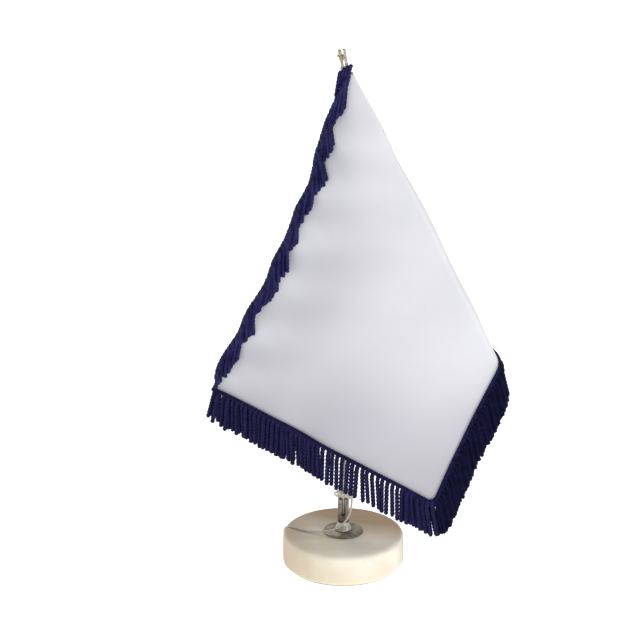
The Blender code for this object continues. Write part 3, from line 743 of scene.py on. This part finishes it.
def braid(name, start, end, node):
    """The braided heading of the fringe: three cords plaited along an edge of the flag's outer face."""
    start, end = np.array(start), np.array(end)
    long, outward = across_edge(start, end)
    count = int(long / 0.00045)
    walked = np.linspace(0, long, count)
    ropes = []
    for ply in range(3):
        turn = 2 * math.pi * (walked / BRAID_PITCH + ply / 3)
        aside = 0.0013 + 0.00085 * np.sin(turn)
        lift = CLOTH / 2 + 0.00095 + 0.00034 * np.sin(2 * turn)
        flat = start + (end - start) * (walked / long)[:, None] - outward * aside[:, None]
        point, normal = cloth_frame(flat[:, 0], flat[:, 1])
        path = point + normal * lift[:, None]
        ropes.append(tube_rings(path, BRAID_STRAND, 8, lobes=2, depth=0.18, twist=700))
    obj = ropes_object(name, ropes, PAINTS["navy"])
    return stand_for(obj, "flag", "navy_rayon", node)


def strand(route, rng, stout=1.0):
    """One bullion strand: two plies twisted round each other, with its ends rounded."""
    path = smooth_path(route, 44)
    radius = STRAND_RADIUS * stout * rng.uniform(0.93, 1.06)
    twist, phase = rng.uniform(185, 225), rng.uniform(0, 6.28)
    return tube_rings(path, radius, 12, lobes=2, depth=0.28, twist=twist, phase=phase)


def hanging_strands(name, start, end, node, seed, layers, paint="navy",
                    splay=lambda share: 0.0, sway=1.0, stout=1.0):
    """Strands from an edge of the flag, over its rim and down.

    splay gives their lean to the right at a share of the edge.
    layers are (pitch, first and last share of the edge that it covers, depth behind the front layer).
    """
    rng = np.random.default_rng(seed)
    start, end = np.array(start), np.array(end)
    long, outward = across_edge(start, end)
    ropes = []
    for pitch, first, last, depth in layers:
        count = int(long * (last - first) / pitch)
        tuft_fall, tuft_drift = 1.0, 0.0
        for i in range(count):
            share = first + (last - first) * (i + 0.5 + rng.uniform(-0.12, 0.12)) / count
            if i % 4 == 0:
                tuft_fall, tuft_drift = rng.uniform(0.95, 1.02), rng.normal(0, 0.0005)
            place = start + (end - start) * share
            point, normal = cloth_frame(*place)
            rim, _ = cloth_frame(*(place - outward * 0.0018))
            out = unit(point - rim)
            lean = splay(share)
            hang = ACROSS * math.sin(lean) - UP * math.cos(lean)
            layer = -depth + (1 if i % 2 else -1) * 0.0003 + rng.uniform(-0.0002, 0.0002)
            drift = (ACROSS * (tuft_drift + rng.normal(0, 0.0003)) + normal * rng.normal(0, 0.0003)) * sway
            near_start = 1 - 0.28 * math.exp(-share * long / 0.006)
            fall = STRAND_FALL * tuft_fall * rng.uniform(0.97, 1.03) * near_start - depth * 0.4
            top = point + out * 0.0010 + normal * (layer + 0.0002)
            route = [rim + normal * (0.0008 + layer * 0.2), point + normal * (0.0006 + layer * 0.5)]
            for down in (0.08, 0.33, 0.66, 1.0):
                route.append(top + out * 0.0005 + hang * fall * down + drift * down * 2.0)
            ropes.append(strand(route, rng, stout))
    obj = ropes_object(name, ropes, PAINTS[paint])
    return stand_for(obj, "flag", "navy_rayon", node)


def lying_strands():
    """Strands of the top edge, which turn over its rim and lie on the front, pointing straight down it.

    They lie in tufts: each tuft fans from wide at its upper end to nearly along the edge at its lower end.
    """
    rng = np.random.default_rng(11)
    down = np.array([math.cos(LEFT_SWEEP), math.sin(LEFT_SWEEP)])
    ropes = []
    first, last, pitch = 0.004, FLAG_WIDTH - 0.010, 0.0022
    tuft_start, tuft_long, wide = first, 0.024, -0.06
    along = first
    i = 0
    while along < last:
        if along > tuft_start + tuft_long:
            tuft_start, tuft_long, wide = along, rng.uniform(0.014, 0.030), rng.uniform(0.0, 0.20)
        through = (along - tuft_start) / tuft_long
        near_end = smooth_step(last - 0.026, last - 0.004, along)
        fan = wide - 0.30 * through**1.5 - 0.16 * near_end + rng.normal(0, 0.012)
        turn = np.array([down[0] * math.cos(fan) - down[1] * math.sin(fan),
                         down[0] * math.sin(fan) + down[1] * math.cos(fan)])
        fall = STRAND_FALL * (1.0 - 0.10 * through) * rng.uniform(0.92, 1.04) * (1 - 0.55 * near_end)
        layer = (0.0014, 0.0030, 0.0021, 0.0038)[i % 4] + rng.uniform(-0.0001, 0.0001)
        edge, normal = cloth_frame(along, 0.0)
        inside, _ = cloth_frame(along, 0.0015)
        out = unit(edge - inside)
        route = [inside + normal * 0.0009, edge + out * 0.0007 + normal * 0.0009]
        for share in (0.10, 0.3, 0.55, 0.8, 1.0):
            u, v = np.array([along, 0.0]) + turn * fall * share
            height = layer + 0.0010 * math.exp(-((share - 0.1) / 0.22) ** 2)
            route.append(cloth_point(u, max(v, 0.0), height))
        ropes.append(strand(route, rng))
        along += pitch * rng.uniform(0.9, 1.1)
        i += 1
    front = -0.0068  # of the sleeve, where the first four strands hang over its top
    for x, drop, fall in ((-0.0036, 0.0034, 0.0140), (-0.0014, 0.0016, 0.0180), (0.0008, 0.0002, 0.0165),
                          (0.0029, -0.0006, 0.0110)):
        top = SLEEVE_TOP + 0.0010 - drop
        route = [(x + 0.0010, front + 0.0022, top + 0.0004), (x + 0.0005, front + 0.0004, top + 0.0006)]
        for down in (0.05, 0.35, 0.7, 1.0):
            route.append((x - 0.0022 * down, front - 0.0012 * down, top - 0.0008 - fall * down))
        ropes.append(strand(route, rng))
    obj = ropes_object("top_strands", ropes, PAINTS["navy_painted_light"])
    return stand_for(obj, "flag", "navy_rayon", "top_fringe")


def sleeve():
    """The hem round the pole and the halyard, a drop-shaped tube of satin."""
    pole_hole, cord_hole = POLE_RADIUS + HEM_CLEARANCE, CORD_RADIUS + HEM_CLEARANCE
    offset = math.hypot(CHANNEL.x, CHANNEL.y)
    spread = math.acos((pole_hole - cord_hole) / offset)
    turn = np.linspace(HOIST_BEARING + spread, HOIST_BEARING + 2 * math.pi - spread, 36)
    tip = np.linspace(HOIST_BEARING - spread, HOIST_BEARING + spread, 20)
    round_pole = np.stack([np.cos(turn), np.sin(turn)], axis=1) * pole_hole
    round_cord = np.array([CHANNEL.x, CHANNEL.y]) + np.stack([np.cos(tip), np.sin(tip)], axis=1) * cord_hole
    outline = np.vstack([round_pole, round_cord])
    rows = 120
    heights = np.linspace(SLEEVE_TOP, SLEEVE_FLOOR, rows)
    rings = np.zeros((rows, len(outline), 3))
    crease = 1 + 0.05 * np.sin(heights * 700)[:, None] * np.sin(np.arange(len(outline)) * 0.45)[None, :] ** 2
    rings[..., :2] = outline[None] * crease[..., None]
    rings[..., 2] = heights[:, None]
    around = np.arange(len(outline)) / len(outline) * HEM_WIDTH
    uv = np.stack(np.broadcast_arrays(around[None, :], heights[:, None]), axis=-1).reshape(-1, 2)
    faces = grid_faces(rows, len(outline), loop=True)
    obj = mesh_object("sleeve_satin", rings.reshape(-1, 3), faces[:, ::-1], PAINTS["satin"], uv)
    solid = obj.modifiers.new("thickness", "SOLIDIFY")
    solid.thickness = HEM_THICKNESS
    solid.offset = 1
    return stand_for(obj, "flag", "white_satin", "hoist_sleeve")


def dress_flag():
    cloth = flag_cloth()
    tape = sleeve()
    inset = 0.0008
    top_braid = braid("top_braid", (0.004, 0), (FLAG_WIDTH, 0), "top_heading")
    fly_braid = braid("fly_braid", (FLAG_WIDTH, inset), (FLAG_WIDTH, FLAG_HOIST), "fly_heading")
    bottom_braid = braid("bottom_braid", (FLAG_WIDTH, FLAG_HOIST), (inset, FLAG_HOIST), "bottom_heading")
    fold = FLAG_HOIST * math.tan(FOLD_ANGLE) - 0.003
    corner = (FLAG_WIDTH, FLAG_HOIST)
    right_lean = math.radians(12)

    def fly_lean(share):
        return right_lean * smooth_step(0.87, 1.0, share) - math.radians(15) * math.exp(-share / 0.035)

    skirts = [
        lying_strands(),
        hanging_strands("fly_strands", (FLAG_WIDTH, 0.001), corner, "fly_fringe", 21,
                        [(0.0034, 0, 1, 0.0), (0.0035, 0, 0.50, 0.0013), (0.0036, 0, 0.45, 0.0026),
                         (0.0036, 0.86, 1, 0.0014), (0.0024, 0.955, 1, 0.0026)], "navy", fly_lean,
                        sway=0.7, stout=1.17),
        hanging_strands("bottom_strands", (fold, FLAG_HOIST), corner, "bottom_fringe", 31,
                        [(0.0026, 0, 1, 0.0), (0.0025, 0, 1, 0.0012), (0.0028, 0, 1, 0.0026)], "navy_painted_shade",
                        lambda share: right_lean, sway=0.6),
        hanging_strands("return_strands", (fold, FLAG_HOIST), (0.006, FLAG_HOIST), "return_fringe", 41,
                        [(0.0034, 0, 1, 0.0)], "navy_painted_shade"),
    ]


# ---- Cords ----


def cord_object(name, path, node, body):
    """One length of the halyard. body is None where it runs between two, and then it rides on none."""
    obj = ropes_object(name, [tube_rings(path, CORD_RADIUS, 16, **CORD_LAY)], PAINTS["cord"])
    return stand_for(obj, body, "cream_cord", node)


TAIL_ROUTE = [
    (0.0056, -0.0012, 0.0497),
    (0.0056, -0.0026, 0.0470),
    (0.0054, -0.0040, 0.0438),
    (0.0048, -0.0053, 0.0402),
    (0.0036, -0.0066, 0.0366),
    (0.0016, -0.0078, 0.0334),
    (-0.0012, -0.0086, 0.0307),
    (-0.0050, -0.0088, 0.0283),
    (-0.0090, -0.0081, 0.0265),
    (-0.0132, -0.0066, 0.0254),
    (-0.0170, -0.0050, 0.0243),
    (-0.0210, -0.0032, 0.0236),
    (-0.0252, -0.0012, 0.0234),
    (-0.0296, 0.0016, 0.0234),
    (-0.0334, 0.0044, 0.0234),
    (-0.0368, 0.0068, 0.0225),
    (-0.0389, 0.0091, 0.0200),
    (-0.0393, 0.0115, 0.0165),
    (-0.0388, 0.0133, 0.0140),
    (-0.0382, 0.0149, 0.0118),
]


def overhand_knot(name, centre, size, node):
    """A small knot: a trefoil of cord drawn up tight."""
    t = np.linspace(0, 2 * math.pi, 90, endpoint=False)
    x, y = np.sin(t) + 2 * np.sin(2 * t), np.cos(t) - 2 * np.cos(2 * t)
    path = np.stack([x, y, -1.4 * np.sin(3 * t)], axis=1)
    path = path / 3 * size * (0.5, 0.5, 0.42) + np.array(centre)
    ropes = [tube_rings(path, CORD_RADIUS * 0.62, 12, closed=True)]
    obj = ropes_object(name, ropes, PAINTS["cord"], closed=True)
    return stand_for(obj, "pole", "cream_cord", node)


def pole_knot():
    """The turns of the halyard drawn tight round the pole, crossed by half a slanting turn."""
    ring = POLE_RADIUS + CORD_RADIUS + 0.0001
    low, high = KNOT_FLOOR + CORD_RADIUS, KNOT_TOP - CORD_RADIUS
    t = np.linspace(0, 1, 160)
    turned = 2.6 * 2 * math.pi * t - 0.6
    coil = np.stack([ring * np.cos(turned), ring * np.sin(turned), low + (high - low) * t], axis=1)
    cross = np.linspace(-0.9, 2.2, 50) - 1.9
    over = ring + CORD_RADIUS * 1.05 * np.sin(np.linspace(0.15, math.pi - 0.15, 50))
    slant = np.stack([over * np.cos(cross), over * np.sin(cross), np.linspace(high, low, 50)], axis=1)
    ropes = [tube_rings(p, CORD_RADIUS, 14, **CORD_LAY) for p in (coil, slant)]
    obj = ropes_object("pole_knot", ropes, PAINTS["cord"])
    stand_for(obj, "pole", "cream_cord", "tie_knot")


def bow_loop(name, node, side):
    """A flattened loop of the bow with a smaller one in it. side is -1 for the left and 1 for the right."""
    low, high = np.array(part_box(node)[0]), np.array(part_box(node)[1])
    centre, half = (low + high) / 2, (high - low) / 2 - CORD_RADIUS
    t = np.linspace(0, 2 * math.pi, 60, endpoint=False)
    slope = -0.35 * half[0] * (np.cos(t) + side) + 0.55 * half[2] * np.sin(t)
    path = np.stack([half[0] * np.cos(t), half[1] * np.cos(t + 0.7), slope], axis=1)
    inner = path * (0.62, 0.5, 0.8) + (-0.0006 * side, 0.0006, 0.0009)
    ropes = [tube_rings(centre + p, CORD_RADIUS * 0.95, 14, **CORD_LAY, closed=True) for p in (path, inner)]
    obj = ropes_object(name, ropes, PAINTS["cord"], closed=True)
    stand_for(obj, "pole", "cream_cord", node)


def run_cords():
    tip = np.array([0, 0, POLE_TIP])
    tip_route = [(CHANNEL.x, CHANNEL.y, SLEEVE_TOP + 0.0011)] + [
        tuple(tip + np.array(p))
        for p in [(0.0017, -0.0040, -0.0076), (0.0005, -0.0038, -0.0058), (0.0, -0.0022, -0.0047),
                  (0.0, 0.0004, -0.0044), (-0.0001, 0.0027, -0.0044), (-0.0016, 0.0039, -0.0044),
                  (-0.0035, 0.0030, -0.0044), (-0.0043, 0.0010, -0.0043), (-0.0041, -0.0012, -0.0041)]
    ]
    tip_route = [(x - tip_shift(z) * math.exp(-max(-x - 0.002, 0) / 0.001), y, z) for x, y, z in tip_route]
    cord_object("cord_tip", smooth_path(tip_route, 90), "halyard_tip", "pole")
    run = np.linspace((CHANNEL.x, CHANNEL.y, SLEEVE_TOP), (CHANNEL.x, CHANNEL.y, SLEEVE_FLOOR), 160)
    cord_object("cord_run", run, "halyard_run", "flag")
    lower = np.linspace((CHANNEL.x, CHANNEL.y, SLEEVE_FLOOR - 0.001), (CHANNEL.x, CHANNEL.y, KNOT_TOP), 160)
    lower_cord = cord_object("cord_lower", lower, "halyard_lower", None)
    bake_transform(lower_cord)
    pole_knot()
    bow_loop("bow_left", "tie_loop_left", -1)
    bow_loop("bow_right", "tie_loop_right", 1)
    path = smooth_path(TAIL_ROUTE, 260)
    tail = cord_object("cord_tail", path, "halyard_tail", "pole")
    low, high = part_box("tail_knot")
    end = overhand_knot("cord_end_knot", (low + high) / 2, (high - low).x, "tail_knot")


# ---- Foot, socket and pole ----


def wooden_foot():
    """The turned foot, with the screw's hole and a recess for its head and washer."""
    round_top, round_low, hole = FOOT_TOP_ROUND, FOOT_LOW_ROUND, SCREW_HOLE
    recess, depth = 0.0065, 0.0050
    top, low, rim = BASE_TOP, BASE_FLOOR, BASE_RADIUS
    profile = [(hole, top)] + [(r, top) for r in np.linspace(hole, rim - round_top, 14)[1:-1]]
    profile += arc((rim - round_top, top - round_top), round_top, RIGHT_ANGLE, 0, 16)
    profile += [(rim, z) for z in np.linspace(top - round_top, low + round_low, 10)[1:-1]]
    profile += arc((rim - round_low, low + round_low), round_low, 0, -RIGHT_ANGLE, 8)
    profile += [(recess, low), (recess, low + depth), (hole, low + depth)]
    obj = turned_object("foot_turned", profile, PAINTS["wood"], steps=192, closed=True)
    obj.data.set_sharp_from_angle(angle=math.radians(50))
    stand_for(obj, "foot", "foot_wood", "base_disc")


def flange():
    low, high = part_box("flange_plate")
    rim, top, hole = high.x, high.z, SCREW_HOLE
    profile = [(hole, top), (rim * 0.55, top), (rim * 0.60, top - 0.00012), (rim - 0.0011, top - 0.00030)]
    profile += arc((rim - 0.0007, top - 0.0010), 0.0007, RIGHT_ANGLE, 0, 6)
    profile += [(rim, low.z), (hole, low.z)]
    obj = turned_object("flange_pressed", profile, PAINTS["plate"], steps=96, closed=True)
    obj.data.set_sharp_from_angle(angle=math.radians(40))
    stand_for(obj, "foot", "cast_plate", "flange_plate")


def boolean_cut(obj, cutter):
    boolean = obj.modifiers.new("cut", "BOOLEAN")
    boolean.operation = "DIFFERENCE"
    boolean.object = cutter
    with_cut = bpy.data.meshes.new_from_object(obj.evaluated_get(bpy.context.evaluated_depsgraph_get()))
    obj.modifiers.clear()
    obj.data = with_cut
    bpy.data.objects.remove(cutter)


def cutter(shape):
    mesh = bpy.data.meshes.new("cutter")
    shape.to_mesh(mesh)
    shape.free()
    obj = bpy.data.objects.new("cutter", mesh)
    bpy.context.scene.collection.objects.link(obj)
    return obj


def box_cutter(size, centre):
    shape = bmesh.new()
    bmesh.ops.create_cube(shape, size=1)
    bmesh.ops.scale(shape, vec=size, verts=shape.verts)
    bmesh.ops.translate(shape, vec=centre, verts=shape.verts)
    return cutter(shape)


def rod_cutter(radius, long, centre, segments):
    """A round rod that runs from front to back."""
    shape = bmesh.new()
    bmesh.ops.create_cone(shape, cap_ends=True, segments=segments, radius1=radius, radius2=radius, depth=long)
    for vert in shape.verts:
        vert.co = Vector((vert.co.x, centre[1] - vert.co.z, vert.co.y + centre[2]))
    return cutter(shape)


def softened(obj, width):
    bevel = obj.modifiers.new("edges", "BEVEL")
    bevel.width = width
    bevel.segments = 2
    bevel.limit_method = "ANGLE"
    bevel.angle_limit = math.radians(40)
    obj.data.shade_smooth()


def socket_cone():
    """The cone that the socket tube stands on, with the blind hole for the foot's screw."""
    foot_low, foot_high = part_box("socket_foot")
    rim, bottom, top = foot_high.x, foot_low.z, foot_high.z
    profile = [(0, top), (SOCKET_OUTER, top), (SOCKET_OUTER + 0.0002, top - 0.0012)]
    profile += [(SOCKET_OUTER + 0.0008, top - 0.0024), (rim - 0.0002, bottom + 0.0009)]
    profile += [(rim, bottom + 0.0005), (rim, bottom)]
    profile += [(SCREW_HOLE, bottom), (SCREW_HOLE, bottom + 0.0037), (0, bottom + 0.0037)]
    cone = turned_object("socket_cone", profile, PAINTS["tube"], steps=72)
    cone.data.set_sharp_from_angle(angle=math.radians(35))
    stand_for(cone, "socket", "plated_tube", "socket_foot")


def socket_tube():
    """The tube that holds the pole, slotted down its front to a round hole."""
    inner = SOCKET_OUTER - SOCKET_WALL
    profile = [(inner, SOCKET_TOP), (SOCKET_OUTER, SOCKET_TOP)]
    profile += [(SOCKET_OUTER, z) for z in np.linspace(SOCKET_TOP, SOCKET_FLOOR, 8)[1:-1]]
    profile += [(SOCKET_OUTER, SOCKET_FLOOR), (inner, SOCKET_FLOOR)]
    # The tube takes the darker copy of the plating, painted shade.
    tube = turned_object("socket_split_tube", profile, PAINTS["split"], steps=72, closed=True)
    slot_size = (SOCKET_SLOT_WIDTH, 0.0080, 2 * SOCKET_SLOT_DEPTH)
    boolean_cut(tube, box_cutter(slot_size, (0, -0.0040, SOCKET_TOP)))
    boolean_cut(tube, rod_cutter(SOCKET_HOLE, 0.0080, (0, -0.0040, SOCKET_TOP - SOCKET_SLOT_DEPTH), 40))
    softened(tube, 0.00015)
    stand_for(tube, "socket", "plated_tube", "socket_tube")


def tip_shift(height):
    """How far to the left the pole's leaning tip has moved at that height."""
    return TIP_LEAN * max(height - (POLE_TIP - TIP_LEAN_FROM), 0)


def pole():
    """The tube pole, its tip sawn into two prongs of which the left one is bent out a little."""
    inner = POLE_RADIUS - POLE_WALL
    near_tip = np.linspace(POLE_TIP, POLE_TIP - 0.016, 24)
    heights = np.concatenate([near_tip, np.linspace(POLE_TIP - 0.03, POLE_FLOOR, 16)])
    profile = [(inner, POLE_TIP)] + [(POLE_RADIUS, z) for z in heights]
    profile += [(inner, z) for z in heights[::-1][:-1]]
    obj = turned_object("pole_metal", profile, PAINTS["pole"], steps=48, closed=True)
    slot_size = (TIP_SLOT_WIDTH, 0.0130, 2 * TIP_SLOT_DEPTH)
    boolean_cut(obj, box_cutter(slot_size, (0, 0, POLE_TIP)))
    boolean_cut(obj, rod_cutter(CORD_WAY, 0.0130, (0, 0, POLE_TIP - CORD_WAY_DROP), 32))
    for vert in obj.data.vertices:
        bent = max(vert.co.z - (POLE_TIP - 0.0035), 0) if vert.co.x < 0 else 0
        vert.co.x -= tip_shift(vert.co.z) + 40.0 * bent**2
        vert.co.z -= 28.0 * bent**2
    softened(obj, 0.00010)
    stand_for(obj, "pole", "plated_tube", "pole_tube")


def crimp():
    """The brass end of the cord, a slim tube nipped in the middle, that leans with the prong beside it."""
    low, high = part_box("tip_crimp")
    centre, rim, half = (low + high) / 2, 0.0010, 0.0029
    profile = [(0, half)] + arc((rim * 0.55, half - rim * 0.45), rim * 0.45, RIGHT_ANGLE, 0, 6)
    profile += [(rim, half * 0.3), (rim * 0.84, 0), (rim, -half * 0.3)]
    profile += arc((rim * 0.55, rim * 0.45 - half), rim * 0.45, 0, -RIGHT_ANGLE, 6) + [(0, -half)]
    obj = turned_object("crimp_brass", profile, PAINTS["brass"], steps=40)
    obj.location = centre + Vector((0.0006, 0, 0.0006))
    obj.rotation_euler = (0, -math.atan(TIP_LEAN), 0)
    stand_for(obj, "pole", "brass", "tip_crimp")


def recoat(node, paint):
    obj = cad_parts[node]
    obj.data.materials.clear()
    obj.data.materials.append(PAINTS[paint])


def build():
    wooden_foot()
    flange()
    socket_cone()
    socket_tube()
    pole()
    crimp()
    for node, paint in (("felt_pad", "felt"), ("base_washer", "steel"), ("base_screw", "steel"),
                        ("pole_foot_cap", "plug")):
        recoat(node, paint)
    dress_flag()
    run_cords()


make_camera()
make_lights()
PAINTS = make_paints()
make_floor()
build()
